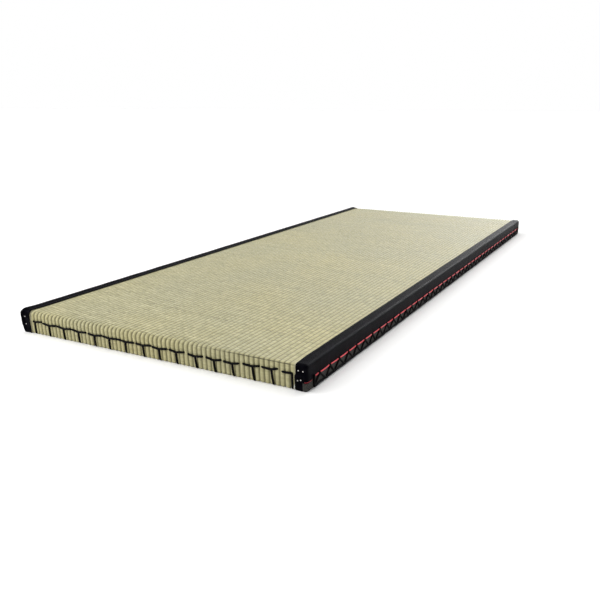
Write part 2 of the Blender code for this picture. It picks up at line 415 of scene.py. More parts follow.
def end_stitches(end):
    """The arms and legs of one end's stitches: lists of (across, height) points in metres."""
    random = np.random.default_rng(11 if end < 0 else 12)
    paths = []
    for number in range(STITCH_COUNT):
        share = number / (STITCH_COUNT - 1)
        across = FIRST_STITCH + number * STITCH_PITCH + random.uniform(-2, 2) * MM
        height = LEG_HEIGHT + 7.5 * MM * smooth(share, 0.72, 1.0) + random.uniform(-0.7, 0.7) * MM
        height += 2.5 * MM * (number == 0)
        left = (20.5 + 4 * smooth(share, 0.7, 0.95) + random.uniform(-1.5, 1.5)) * MM
        right = (25 - 11 * smooth(share, 0.45, 1.0) + random.uniform(-1.5, 1.5)) * MM
        left_rise = (3.0 - 3 * smooth(share, 0.7, 1.0) + random.uniform(-1, 1)) * MM
        right_rise = (3.2 + random.uniform(-0.9, 0.9)) * MM
        left = min(left, across + BORDER_LINE - 8 * MM)
        right = min(right, BORDER_LINE + 1 * MM - across)
        arms = [(across - left, height + left_rise)]
        arms += [(across - left * 0.55, height + left_rise * 0.8), (across, height)]
        arms += [(across + right * 0.35, height + right_rise * 0.55)]
        arms += [(across + right, height + right_rise)]
        sway = (3 * smooth(share, 0.35, 0.7) * (share < 0.97) + random.uniform(-0.8, 0.9)) * MM
        leg = [(across, height + 0.6 * MM), (across + sway * 0.4, height * 0.5)]
        leg += [(across + sway, LEG_END)]
        last = number == STITCH_COUNT - 1
        paths += [arms[:3] if last else arms, leg]
    return paths


# The last stitch by the right-hand border is a plain upright one.
EDGE_STITCH = (374 * MM, 33 * MM)
stitches = {end: end_stitches(end) for end in (-1, 1)}
for end, paths in stitches.items():
    paths.append([EDGE_STITCH, (EDGE_STITCH[0], LEG_END)])
    if end > 0:  # the far end is laid out as seen when facing it
        stitches[end] = [[(-across, height) for across, height in path] for path in paths]
print("paths on each end:", [len(paths) for paths in stitches.values()])

# %% [markdown]
# ## The rush-covered board
#
# The board is one closed solid. Its grid has five lines to each rib, so that the ribs are true shape:
# low on the top, where the facing is stretched flat, and deep where it rolls over the ends. The
# near end is folded softly but creased sharply towards its right-hand corner. A displacement texture
# could raise the ribs too, but here they are in the mesh itself and the thread can press into them.


# %% Shape the ribs
NARROWING = 2.2 * MM
SOFTER_ROLL = 1.5 * MM  # added to the roll where the facing is folded softly
CRISPER_ROLL = 6.5 * MM  # and taken off it where it is creased
TOP_RELIEF = 1.0 * MM
END_RELIEF = 1.9 * MM  # added to the relief where the rush rolls over the ends
UNEVENNESS = 0.05 * MM
PRESS_DEPTH = 1.2 * MM  # the thread presses the rush down, most within PRESS_REACH
PRESS_REACH = 4 * MM
CREASE_DOWN = 2.6 * MM  # below the top
CREASE_WIDTH = 0.8 * MM
CREASE_DEPTH = 2.2 * MM


def distance_to(paths, across, height):
    """How far each point of an end face is from the nearest thread."""
    nearest = np.full(len(across), 1.0)
    for path in paths:
        for (x0, z0), (x1, z1) in zip(path, path[1:]):
            length2 = (x1 - x0) ** 2 + (z1 - z0) ** 2
            share = np.clip(((across - x0) * (x1 - x0) + (height - z0) * (z1 - z0)) / length2, 0, 1)
            off = np.hypot(across - x0 - share * (x1 - x0), height - z0 - share * (z1 - z0))
            nearest = np.minimum(nearest, off)
    return nearest


def crispness(block):
    """1 where the near end is creased sharply, 0 where the rush rolls over softly."""
    return smooth(block[:, 0], 90 * MM, CREASE_FULL) * (block[:, 1] < 0)


def narrowing(along):
    """How much narrower than BORDER_LINE says the border is, near the ends."""
    return NARROWING * smooth(abs(along), 945 * MM, 994 * MM)


def end_roll_at(block):
    """The radius of the roll over the ends, all along them."""
    return END_ROLL + SOFTER_ROLL - CRISPER_ROLL * crispness(block)


def rush_depth(block, random):
    """How far the rush lies below the board's plain skin at each point."""
    across, along, height = block.T
    groove = 1 - np.sin(np.pi * (across / RIB % 1.0)) ** 0.6
    from_end = HALF_LENGTH - abs(along)
    down = HEIGHT - height
    crisp = crispness(block)
    on_roll = 1 - smooth(from_end, 0, 26 * MM)
    on_end = np.maximum(on_roll * (1 - crisp), smooth(down, 0, 5 * MM))
    relief = TOP_RELIEF + END_RELIEF * on_end
    uneven = random.normal(0, UNEVENNESS, len(block)) * (1 + 1.5 * on_end)
    depth = relief * groove + abs(uneven)
    for end, paths in stitches.items():
        here = (along * end > HALF_LENGTH - 0.1 * MM) & (abs(across) < BORDER_LINE + 4 * MM)
        near = distance_to(paths, across[here], height[here])
        pressed = PRESS_DEPTH * np.exp(-((near / PRESS_REACH) ** 2))
        depth[here] = np.maximum(depth[here], 0.4 * MM) + pressed
    crease = np.exp(-(((down - CREASE_DOWN) / CREASE_WIDTH) ** 2)) * (from_end < 0.1 * MM)
    ragged = 0.35 + 0.65 * np.clip(np.sin(across / (9 * MM)), 0, 1)
    depth += crisp * crease * CREASE_DEPTH * ragged
    cover = BORDER_LINE + narrowing(along)
    under_border = smooth(abs(across), cover - 1 * MM, cover + 1 * MM)
    underneath = (height < 0.1 * MM) * smooth(from_end, FOOT_ROLL, 25 * MM)
    return depth * (1 - under_border) * (1 - underneath)


# %% Build the board
def board_lines():
    rib_shares = (0.0, 0.13, 0.38, 0.62, 0.87)
    first = -RIB_COUNT / 2
    ribs = [(first + number + share) * RIB for number in range(RIB_COUNT) for share in rib_shares]
    x_lines = ribs + mirrored(HALF_WIDTH, (0, 1.2, 2.6, 4.2, 6.5, 9, 12, 17.5, 20, 22, 24, 25.5))
    y_lines = mirrored(HALF_LENGTH, (0, 1.2, 2.4, 4, 6, 8.5, 12, 17, 24, 33, 45))
    y_lines += spaced(-HEM_LINE, HEM_LINE, 13 * MM)
    z_lines = [HEIGHT - depth * MM for depth in (0, 1, 1.8, 2.6, 3.4, 4.6, 6, 8, 10, 12)]
    z_lines += spaced(HEIGHT - 12 * MM, FOOT_ROLL, 2.4 * MM) + [0, 0.8 * MM, 1.7 * MM]
    return x_lines, y_lines, z_lines


def keeps_board(centres, axis, side):
    """Everything but the underside between the hems, which one flat face closes later."""
    if axis < 2 or side > 0:
        return np.ones(len(centres), bool)
    return abs(centres[:, 1]) > HEM_LINE


def build_board():
    random = np.random.default_rng(3)
    block, faces, flats = block_shell(*board_lines(), keeps_board)
    points = soften(block, end_roll_at(block))
    depth = rush_depth(block, random)
    points -= outward(points, faces) * depth[:, None]
    # The ribs wander a little from side to side, as woven ones do.
    wander = np.array([noise.noise((x * 9, y * 5, 0)) for x, y, _ in block]) * 0.9 * MM
    points[:, 0] += wander * (1 - smooth(abs(block[:, 0]), 355 * MM, BORDER_LINE))
    points[:, 2] = np.maximum(points[:, 2], 0)
    piece = new_piece("rush_facing", points, faces, rush, flats)
    surface = bmesh.new()
    surface.from_mesh(piece.data)
    bmesh.ops.holes_fill(surface, edges=[edge for edge in surface.edges if edge.is_boundary])
    surface.to_mesh(piece.data)
    surface.free()
    return piece


board = build_board()
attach(board, "root")
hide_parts("rush_board")
print("board faces:", len(board.data.polygons))

# %% [markdown]
# ## Border cloth
#
# The border is a black cotton cloth woven with close ribs across its width. Black cotton has almost no
# shine seen square on, but light skims off it at a low angle, so the far end of a long border looks
# grey. A very weak, slightly violet specular gives most of that, and a trace of sheen the rest. The
# ribs are drawn 2.4 mm apart, twice their real pitch, so that they can be seen.

# %% Make the border's material
CLOTH_RIB = 2.4 * MM
CLOTH_WARP = 1.1 * MM


def border_material():
    material, shader, add = new_material("black_cotton_ribbed")
    flat = add("UVMap", uv_map="flat")["UV"]
    place = add("SeparateXYZ", [flat])
    waver = add("TexNoise", {"Vector": flat, "Scale": 90.0, "Detail": 2.0})["Fac"]
    rib_line = add("Math", [place["Y"], 2 * math.pi / CLOTH_RIB], "MULTIPLY")[0]
    rib_line = add("Math", [waver, 2.5, rib_line], "MULTIPLY_ADD")[0]
    rib = add("Math", [rib_line], "SINE")[0]
    rib = add("MapRange", [rib, -1.0, 1.0])[0]
    warp_line = add("Math", [place["X"], 2 * math.pi / CLOTH_WARP], "MULTIPLY")[0]
    warp = add("Math", [warp_line], "SINE")[0]
    height = add("Math", [warp, 0.12, rib], "MULTIPLY_ADD")[0]
    lint = add("TexNoise", {"Vector": flat, "Scale": 420.0, "Detail": 3.0, "Roughness": 0.7})["Fac"]
    # The dye is darker in the hollows between the ribs, which is painted shade, and lint varies it at
    # random.
    tone = add("Math", [rib, 0.4, lint], "MULTIPLY_ADD")[0]
    # The cloth has faded in streaks across its width, where it was folded on the roll.
    streak_place = add("Mapping", {"Vector": flat, "Scale": (14.0, 85.0, 1.0)})[0]
    streak = add("TexNoise", {"Vector": streak_place, "Scale": 1.0, "Detail": 2.0})["Fac"]
    streak = add("MapRange", [streak, 0.35, 0.7])[0]
    tone = add("Math", [tone, streak], "MULTIPLY")[0]
    dye = add("ValToRGB", [tone], stops=((0, "020203"), (1, "100F15")))[0]
    bump = add("Bump", {"Height": height, "Distance": 0.25 * MM, "Strength": 0.7})[0]
    fill(shader, {"Base Color": dye, "Normal": bump, "Roughness": 0.4, "IOR": 1.5})
    fill(shader, {"Specular IOR Level": 0.014, "Specular Tint": "CBC6FF"})
    fill(shader, {"Sheen Weight": 0.006, "Sheen Roughness": 0.3, "Sheen Tint": "BDBBE6"})
    return material


border_cloth = border_material()

# %% [markdown]
# ## The borders
#
# Each border is one length of cloth, folded under along its inner edge. It lies 27 mm wide on the top,
# turns down the side to the seam, and is folded down over each end to the floor. It is modelled as
# the side of the soft block that it covers, given its thickness by a Solidify modifier. Red stitches
# pinch it along its lower edge, and it stands a little proud between them. On the left it was pulled
# less tightly, and bulges at the near corner.

# %% Where the red stitches go
RED_PITCH = 46 * MM
RED_SHOWN = 44.5 * MM
RED_COUNT = 41
SEAM_DROP = 5.5 * MM  # the seam sinks towards each corner


def seam_drop(along):
    return SEAM_DROP * smooth(abs(along), 968 * MM, 996 * MM)


def red_stitches(side):
    """The start and end of each red stitch along one long side, near end first."""
    random = np.random.default_rng(21 if side > 0 else 22)
    first = -(RED_COUNT - 1) / 2 * RED_PITCH
    rows = []
    for number in range(RED_COUNT):
        middle = first + number * RED_PITCH + random.uniform(-1.2, 1.2) * MM
        shown = RED_SHOWN + random.uniform(-1.5, 1.5) * MM
        rows.append((middle - shown / 2, middle + shown / 2))
    rows.insert(0, (-965 * MM, -948 * MM))
    rows.append((948 * MM, 963 * MM))
    return rows


red_rows = {side: red_stitches(side) for side in (-1, 1)}
print("red stitches on each side:", [len(rows) for rows in red_rows.values()])


# %% Build the borders
PUFF = 0.35 * MM  # of the loose cloth everywhere
END_PUFF = 0.4 * MM  # more where it hangs over an end
SEAM_PUFF = 0.5 * MM  # between the red stitches
FOLD_RISE = 0.45 * MM  # of the double inner edge
pin_names = [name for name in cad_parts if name.startswith("pin_")]
pin_places = [sum(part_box(name), Vector()) / 2 for name in pin_names]


def border_lines():
    insets = [0, 1.2, 2.5, 4, 5.5, 6.85, 7.15, 8.8, 10.5, 12, 14.5, 17, 19.5, 22, 24, 25.5]
    x_lines = [HALF_WIDTH - inset * MM for inset in insets]
    x_lines += [BORDER_LINE + 0.6 * MM]
    y_lines = mirrored(HALF_LENGTH, (0, 1, 2.2, 3.6, 5.4, 7.5, 9.7, 12, 16))
    y_lines += spaced(16 * MM - HALF_LENGTH, HALF_LENGTH - 16 * MM, 4.6 * MM)
    z_lines = [HEIGHT - depth * MM for depth in (0, 0.9, 2, 3.2, 4.6, 6, 8, 10)]
    z_lines += spaced(HEIGHT - 10 * MM, SEAM + 2 * MM, 3.6 * MM)
    z_lines += [SEAM + GAP / 2, SEAM - GAP / 2] + spaced(SEAM - GAP / 2, FOOT_ROLL, 3.6 * MM)
    z_lines += [1.7 * MM, 0.8 * MM]
    return x_lines + [-HALF_WIDTH], y_lines, z_lines + [0]


def keeps_border(border_side):
    """Which faces are cloth: the top strip, the side down to the seam, and the folded ends."""

    def keeps(centres, axis, side):
        across, along, height = centres.T
        if axis == 2 and side < 0:
            return np.zeros(len(centres), bool)
        # The near left end is folded wider than the others, out to the corner.
        inside = (across < FOLD_LINE) | ((border_side < 0) & (along < 0))
        folded_end = (axis == 1) & (height > 0.8 * MM) & inside
        return (across > BORDER_LINE) & ((height > SEAM) | folded_end)

    return keeps


def seam_fullness(along, side):
    """0 where the red thread dives into the cloth, and 1 between, where the cloth puffs up."""
    rows = red_rows[side]
    gaps = np.array([(first[1] + second[0]) / 2 for first, second in zip(rows, rows[1:])])
    return smooth(abs(along[:, None] - gaps[None, :]).min(axis=1), 1.5 * MM, 11 * MM)


def waves(block, scale, shift=0.0):
    """Slow, smooth noise from -1 to 1 over a cloth, with its own scale along each axis."""
    places = block * np.array(scale) + shift
    return np.array([noise.noise(place) for place in places.tolist()])


BULGE = {-1: 4.2 * MM, 1: 1.0 * MM}  # on the left and on the right
BULGE_MIDDLE = 32 * MM  # above the floor
BULGE_SPREAD = 25 * MM
LOOSE_RISE = 2.6 * MM
BORDER_FOOT = 1.25 * MM  # lowest point of the cloth's inner face


def corner_bulge(block, side):
    """The cloth is doubled inside each near corner, which bulges, most of all on the left."""
    across, along, height = block.T
    bulge = np.exp(-(((height - BULGE_MIDDLE) / BULGE_SPREAD) ** 2)) * BULGE[side]
    bulge *= smooth(abs(across), HALF_WIDTH - 7.5 * MM, HALF_WIDTH) * (along < 0)
    bulge *= np.clip(height / (5 * MM), 0, 1)
    return bulge * (1 - smooth(HALF_LENGTH - abs(along), 4 * MM, 45 * MM))


def border_swell(block, side):
    """How far the border stands off the board: pulled in at the red thread's gaps and at the pins."""
    across, along, height = block.T
    on_end = abs(along) > HALF_LENGTH - 0.1 * MM
    swell = PUFF * (1 + waves(block, (60, 22, 60), 3.0 * side))
    swell += on_end * END_PUFF * (1 + waves(block, (190, 40, 150), 5.0 * side))
    near_seam = np.exp(-(((height - SEAM) / (9 * MM)) ** 2)) * (across > HALF_WIDTH - 1 * MM)
    full = seam_fullness(along, side)
    swell = swell * (1 - near_seam * (1 - full)) + near_seam * full * SEAM_PUFF
    fold = smooth(BORDER_LINE + 8 * MM - across, 0, 1.5 * MM) * (height > HEIGHT - 1 * MM)
    swell += fold * FOLD_RISE
    swell += corner_bulge(block, side)
    if side < 0:
        # On the left the cloth was pulled less tightly, and stands up along the top edge.
        rise = smooth(across, BORDER_LINE + 2 * MM, HALF_WIDTH - 6 * MM)
        swell += LOOSE_RISE * rise * smooth(height, SEAM + 4 * MM, HEIGHT - 4 * MM)
    for pin in pin_places:
        if pin.x * side > 0:
            off = np.hypot(across - abs(pin.x), height - pin.z)
            held = (1 - smooth(off, 2.2 * MM, 8 * MM)) * (along * pin.y > 0) * on_end
            swell = swell * (1 - held)
    return np.maximum(swell, 0)


def build_border(side):
    block, faces, flats = block_shell(*border_lines(), keeps_border(side))
    lowered = block.copy()
    across, along, height = block.T
    by_seam = (across > FOLD_LINE) * np.clip((HEIGHT - height) / (HEIGHT - SEAM), 0, 1)
    by_seam *= np.clip(height / SEAM, 0, 1)
    lowered[:, 2] -= seam_drop(along) * by_seam
    # The strip narrows a little towards the end, and is that narrow where it is folded down.
    inner = narrowing(along) * np.clip((FOLD_LINE - across) / (FOLD_LINE - BORDER_LINE), 0, 1)
    lowered[:, 0] += inner * (1 if side > 0 else 0.7)
    points = soften(lowered, end_roll_at(block * (side, 1, 1)))
    lift = GAP + border_swell(lowered, side)
    points += outward(points, faces) * lift[:, None]
    points[:, 2] = np.maximum(points[:, 2], BORDER_FOOT)
    if side < 0:
        points[:, 0] *= -1
        flats[..., 0] *= -1
        faces = faces[:, ::-1]
        flats = flats[:, ::-1]
    name = "border_right_cloth" if side > 0 else "border_left_cloth"
    piece = new_piece(name, points, faces, border_cloth, flats)
    thicken(piece, BORDER_THICKNESS)
    soft_edge = piece.modifiers.new("Soft edges", "BEVEL")
    soft_edge.width = 0.4 * MM
    soft_edge.segments = 2
    soft_edge.angle_limit = math.radians(50)
    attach(piece, "root")
    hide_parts("border_right" if side > 0 else "border_left")
    return piece


borders = {side: build_border(side) for side in (-1, 1)}
print("faces in a border before it is thickened:", len(borders[1].data.polygons))

# %% [markdown]
# ## Backing cloth
#
# Under the mat is a woven plastic cloth: flat dark tapes of polypropylene over and under each other. It
# shows only as a narrow band along the sides. The tapes are slightly glossy and vary from tape to
# tape, so the band looks mottled. They are drawn 3 mm wide.

# %% Make the backing's material
TAPE = 3 * MM


def backing_material():
    material, shader, add = new_material("polypropylene_tape_woven")
    flat = add("UVMap", uv_map="flat")["UV"]
    place = add("SeparateXYZ", [flat])
    numbers, backs = [], []
    for part in ("X", "Y"):
        line = add("Math", [place[part], TAPE], "DIVIDE")[0]
        numbers.append(add("Math", [line], "FLOOR")[0])
        share = add("Math", [line], "FRACT")[0]
        turn = add("Math", [share, math.pi], "MULTIPLY")[0]
        backs.append(add("Math", [turn], "SINE")[0])
    total = add("Math", [numbers[0], numbers[1]], "ADD")[0]
    over = add("Math", [total, 2.0], "FLOORED_MODULO")[0]
    back = add("Mix", {0: over, 2: backs[0], 3: backs[1]})[0]
    cell = add("CombineXYZ", [numbers[0], numbers[1]])[0]
    own = add("TexWhiteNoise", {"Vector": cell}, noise_dimensions="2D")["Value"]
    blotch = add("TexNoise", {"Vector": flat, "Scale": 70.0, "Detail": 2.0})["Fac"]
    mixed = add("Mix", {0: 0.5, 2: own, 3: blotch})[0]
    # Each tape darkens towards its edges, where it passes under the next: painted shade.
    lit = add("Math", [mixed, back], "MULTIPLY")[0]
    dye = add("ValToRGB", [lit], stops=((0, "0C0C0B"), (0.8, "474741")))[0]
    bump = add("Bump", {"Height": back, "Distance": 0.4 * MM, "Strength": 0.8})[0]
    fill(shader, {"Base Color": dye, "Normal": bump, "Roughness": 0.55, "IOR": 1.49})
    fill(shader, {"Specular IOR Level": 0.25})
    return material


backing_cloth = backing_material()

# %% [markdown]
# ## The backing
#
# One cloth lies under the mat between the turned-in rush and comes up both sides to the seam. It is
# cut from the same soft block as the border, so the two meet along the seam. At the near left end
# the border's fold reaches the corner, so the backing stops at the side there.


# %% Build the backing
def backing_lines():
    x_lines = mirrored(HALF_WIDTH, (0, 1.2, 2.5, 4, 5.5, 6.85, 7.15, 12))
    x_lines += spaced(12 * MM - HALF_WIDTH, HALF_WIDTH - 12 * MM, 32 * MM)
    hem = HEM_LINE - GAP
    y_lines = mirrored(HALF_LENGTH, (0, 1, 2.2, 3.6, 5.4, 7.5, 9.7, 12, 20, 28, 36))
    y_lines += spaced(-hem, hem, 6.2 * MM)
    z_lines = spaced(SEAM - GAP / 2, FOOT_ROLL, 3.0 * MM) + [1.7 * MM, 0.8 * MM, 0, HEIGHT]
    return x_lines, y_lines, z_lines


def keeps_backing(centres, axis, side):
    """The underside between the hems, and the sides up to the seam and round the corners."""
    across, along, height = centres.T
    between_hems = abs(along) < HEM_LINE - GAP
    if axis == 2:
        return between_hems & (side < 0)
    near_left_end = (axis == 1) & (along < 0) & (across < 0)
    up_the_side = (abs(across) > FOLD_LINE) & (height < SEAM) & ~near_left_end
    return up_the_side & (between_hems | (height > 0.8 * MM))


def backing_swell(block):
    """How far the backing stands off the board's side: loose halfway up, held at both edges."""
    across, along, height = block.T
    on_side = smooth(height, 1 * MM, 6 * MM) * (1 - smooth(height, 18 * MM, 24 * MM))
    bulge = np.where(across < 0, corner_bulge(block, -1), corner_bulge(block, 1))
    return on_side * 0.5 * MM * (1 + waves(block, (50, 45, 90))) + bulge


def build_backing():
    block, faces, flats = block_shell(*backing_lines(), keeps_backing)
    lowered = block.copy()
    lowered[:, 2] -= seam_drop(block[:, 1]) * np.clip(block[:, 2] / SEAM, 0, 1)
    points = soften(lowered)
    lift = GAP + backing_swell(lowered)
    points += outward(points, faces) * lift[:, None]
    piece = new_piece("backing_woven", points, faces, backing_cloth, flats)
    thicken(piece, BACKING_THICKNESS)
    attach(piece, "root")
    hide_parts("backing")
    return piece


backing = build_backing()
print("faces in the backing before it is thickened:", len(backing.data.polygons))

# %% [markdown]
# ## Twisted thread
#
# All the sewing is done with twisted two-ply thread. A round tube looks like wire, so the section here
# has two lobes, and it turns as it goes along: that is the twist. A curve's bevel profile can't turn
# this way, so the tubes are made point by point and joined into one mesh for each kind of stitch.


# %% Spin thread along a path
def eased(path, bend):
    """A path with its corners cut back by at most bend, twice, so that the thread curves round them."""
    for cut in (bend, bend / 3):
        legs = np.diff(path, axis=0)
        lengths = np.linalg.norm(legs, axis=1, keepdims=True)
        steps = legs / lengths * np.minimum(cut, 0.4 * lengths)
        before = path[1:-1] - steps[:-1]
        after = path[1:-1] + steps[1:]
        bent = np.stack([before, after], axis=1).reshape(-1, 3)
        path = np.concatenate([path[:1], bent, path[-1:]])
    return path


def spin(paths, radius, turn, step, fade, bend, sides=10):
    """Points and faces of joined threads. paths holds (points, the way the cloth faces) pairs.

    turn is the length of one twist, step the distance between rings, and fade the length over
    which each end of the thread thins.
    """
    all_points, all_faces, count = [], [], 0
    angles = np.linspace(0, 2 * math.pi, sides, endpoint=False)
    for path, facing in paths:
        path = eased(np.asarray(path, float), bend)
        along = np.concatenate([[0], np.cumsum(np.linalg.norm(np.diff(path, axis=0), axis=1))])
        rings = max(4, round(along[-1] / step) + 1)
        at = np.linspace(0, along[-1], rings)
        centre = np.stack([np.interp(at, along, path[:, n]) for n in range(3)], axis=1)
        ahead = np.gradient(centre, axis=0)
        ahead /= np.linalg.norm(ahead, axis=1, keepdims=True)
        across = np.cross(ahead, facing)
        across /= np.linalg.norm(across, axis=1, keepdims=True)
        up = np.cross(across, ahead)
        turned = angles[None, :] - (2 * math.pi * at / turn)[:, None]
        thinned = 0.4 + 0.6 * np.sqrt(np.clip(np.minimum(at, along[-1] - at) / fade, 0, 1))
        lobes = radius * (0.7 + 0.3 * abs(np.cos(turned))) * thinned[:, None]
        sideways = (lobes * np.cos(angles))[..., None] * across[:, None]
        upwards = (lobes * np.sin(angles))[..., None] * up[:, None]
        all_points.append((centre[:, None] + sideways + upwards).reshape(-1, 3))
        ring = count + np.arange(rings - 1)[:, None] * sides
        here, following = ring + np.arange(sides), ring + (np.arange(sides) + 1) % sides
        quads = np.stack([here, following, following + sides, here + sides], axis=-1)
        all_faces += quads.reshape(-1, 4).tolist()
        all_faces.append(list(range(count + sides - 1, count - 1, -1)))
        all_faces.append(list(range(count + (rings - 1) * sides, count + rings * sides)))
        count += rings * sides
    return np.concatenate(all_points), all_faces


def thread_piece(name, paths, material, slot, **thread):
    points, faces = spin(paths, **thread)
    piece = new_piece(name, points, faces, material)
    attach(piece, "root")
    print(name, "has", len(faces), "faces")


# %% [markdown]
# ## Thread finishes
#
# The black thread is waxed hemp: nearly black and hardly shiny. The red is spun polyester, brighter
# and softer; where it wraps the corners it is a darker copy, which is painted shade. All get their
# strands from the mesh, so the material adds only fine fibre and slight changes of dye.


# %% Make the thread materials
def thread_material(name, dark, light, roughness, shine, sheen):
    material, shader, add = new_material(name)
    place = add("TexCoord")["Object"]
    fibre = add("TexNoise", {"Vector": place, "Scale": 900.0, "Detail": 3.0})["Fac"]
    dye = add("ValToRGB", [fibre], stops=((0.3, dark), (0.7, light)))[0]
    bump = add("Bump", {"Height": fibre, "Distance": 0.15 * MM, "Strength": 0.6})[0]
    fill(shader, {"Base Color": dye, "Normal": bump, "Roughness": roughness, "IOR": 1.5})
    fill(shader, {"Specular IOR Level": shine, "Sheen Weight": sheen})
    return material


black_thread = thread_material("hemp_thread_waxed", "030303", "0A090B", 0.6, 0.06, 0.0)
red_thread = thread_material("polyester_thread_spun", "EE3640", "FF4E57", 0.5, 0.4, 0.1)
# The corner stitches get a darker copy of the red: painted shade, for thread that lies in shade.
shaded_red_thread = thread_material("polyester_thread_painted_shade", "8E1F27", "A52B34", 0.6, 0.3, 0.1)
pale_thread = thread_material("cotton_thread_undyed", "CFCDC4", "F1EFE6", 0.8, 0.3, 0.2)

# %% [markdown]
# ## The end stitches
#
# The black thread lies half sunk in the rush. Its ends dip into the facing, and each leg
# goes down to the floor and under the mat.


# %% Sew the ends
def end_thread_paths():
    paths = []
    for end, rows in stitches.items():
        for row in rows:
            block = np.array([(across, end * HALF_LENGTH, height) for across, height in row])
            laid, facing = off_board(block, -ARM_DEPTH)
            dive = facing[0] * -3.2 * MM
            is_leg = row[-1][1] < 2 * MM
            laid = np.concatenate([[laid[0] + dive], laid, [laid[-1] + dive * (0.6 if is_leg else 1)]])
            paths.append((laid, facing.mean(axis=0) + np.array((0.02, 0, 0.05))))
    return paths


END_LOOK = {"radius": END_THREAD, "turn": 7 * MM, "step": 1.3 * MM, "fade": 3.5 * MM, "bend": 3 * MM}
thread_piece("end_stitches", end_thread_paths(), black_thread, "thread", **END_LOOK)

# A cut end of undyed thread shows beside the last stitch, by the right-hand border.
loose_row = np.array([(370.8 * MM, -HALF_LENGTH, height * MM) for height in (11, 8.5, 5, 1.8)])
loose_laid, loose_facing = off_board(loose_row, np.array((-2.5, -0.6, 0.4, -0.4)) * MM)
LOOSE_LOOK = {"radius": 1.5 * MM, "turn": 5 * MM, "step": 0.6 * MM, "fade": 2 * MM, "bend": 1 * MM}
thread_piece("loose_thread_end", [(loose_laid, loose_facing[0])], pale_thread, "thread", **LOOSE_LOOK)

# %% [markdown]
# ## The side stitches
#
# A red running stitch holds the border's lower edge. Below it a finer black thread zigzags over the
# backing, from the gaps between the red stitches down to the floor edge, where one long thread ties
# the points together.

# %% Sew the red line
RED_THREAD = 1.45 * MM
RED_RISE = 1.2 * MM  # above the seam
WRAP_DROP = 3.2 * MM  # below it


def along_side(side, row, lifts, swell):
    """A thread's path over a long side: row holds (across, along, height) points of its outline."""
    block = np.array(row)
    laid, facing = off_board(block, swell(block) + np.array(lifts))
    mirror = np.array((side, 1, 1))
    return laid * mirror, facing.mean(axis=0) * mirror


def red_paths():
    """The running stitches of both sides, and the ones that wrap the right side's corners."""
    paths, wraps = [], []
    on_cloth = GAP + BORDER_THICKNESS
    steps = np.linspace(-1, 1, 7)
    shape = np.array((-0.4, 0.55, 0.7, 0.7, 0.7, 0.55, -0.4)) * MM + on_cloth
    for side, rows in red_rows.items():
        random = np.random.default_rng(41 if side > 0 else 42)
        swell = partial(border_swell, side=side)
        for start, stop in rows:
            tilt = random.uniform(-0.5, 0.5) * MM
            alongs = (start + stop) / 2 + steps * (stop - start) / 2
            heights = SEAM + RED_RISE + tilt * steps
            row = [(HALF_WIDTH, along, height) for along, height in zip(alongs, heights)]
            paths.append(along_side(side, row, shape, swell))
        # One more stitch wraps each corner of the right side, lower down.
        for end in (-1, 1) if side > 0 else ():
            edge = end * HALF_LENGTH
            outline = [(HALF_WIDTH, edge - end * inset * MM) for inset in (21, 17, 10, 5)]
            outline += [(HALF_WIDTH, edge), (HALF_WIDTH - 2.5 * MM, edge), (HALF_WIDTH - 4.5 * MM, edge)]
            row = [(across, along, SEAM - WRAP_DROP) for across, along in outline]
            wraps.append(along_side(side, row, shape - 0.5 * MM, swell))
    return paths, wraps


RED_LOOK = {"radius": RED_THREAD, "turn": 5 * MM, "step": 1.1 * MM, "fade": 6 * MM, "bend": 2 * MM}
red_running, red_wraps = red_paths()
thread_piece("red_side_stitches", red_running, red_thread, "seam_thread", **RED_LOOK)
WRAP_LOOK = RED_LOOK | {"radius": 0.8 * MM, "fade": 3 * MM}
# The corner stitches take the darker red, which is painted shade.
thread_piece("red_corner_stitches", red_wraps, shaded_red_thread, "seam_thread", **WRAP_LOOK)

# %% Sew the zigzag
SIDE_THREAD = 2.7 * MM
ZIGZAG_FOOT = 3.1 * MM
UPRIGHT_TOP = 31 * MM  # one upright thread stands at each end of the zigzag


def zigzag_paths():
    paths = []
    on_cloth = GAP + BACKING_THICKNESS + 0.75 * MM
    for side, rows in red_rows.items():
        random = np.random.default_rng(51 if side > 0 else 52)
        gaps = [(first[1] + second[0]) / 2 for first, second in zip(rows, rows[1:])]
        outset = rows[0][0] - 6 * MM
        first = [(outset, UPRIGHT_TOP), (outset, 12 * MM), (outset + 1 * MM, ZIGZAG_FOOT)]
        zigzag, floor_line = first[-1:], first[-1:]
        for start, stop in zip(gaps, gaps[1:] + [-outset]):
            middle = start + (stop - start) * random.uniform(0.42, 0.62)
            top = SEAM + random.uniform(4, 5.5) * MM
            zigzag += [(start - 0.5 * MM, SEAM), (start, top), (start + 0.5 * MM, SEAM)]
            zigzag += [(middle, ZIGZAG_FOOT)]
            floor_line += [(start, 4.2 * MM), (middle, 3.0 * MM)]
        zigzag[-1] = floor_line[-1] = (-outset, ZIGZAG_FOOT)
        last = [(-outset, ZIGZAG_FOOT), (-outset, UPRIGHT_TOP)]
        for path, lift in ((first, 0.9 * MM), (zigzag, 0), (floor_line, -0.3 * MM), (last, 0.9 * MM)):
            row = [(HALF_WIDTH, along, height) for along, height in path]
            over_seam = [height > SEAM - 1 * MM for along, height in path]
            lifts = on_cloth + lift + 0.5 * MM * np.array(over_seam)
            paths.append(along_side(side, row, lifts, backing_swell))
    return paths


SIDE_LOOK = {"radius": SIDE_THREAD, "turn": 5 * MM, "step": 1.7 * MM, "fade": 3 * MM, "bend": 1.6 * MM}
thread_piece("zigzag_side_stitches", zigzag_paths(), black_thread, "thread", **SIDE_LOOK)

# %% [markdown]
# ## Pins
#
# The pins are nickel-plated steel, as upholsterers use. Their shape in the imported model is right, so
# they stay, and only their material is new: bright metal, a little worn, with fine rubbing marks.


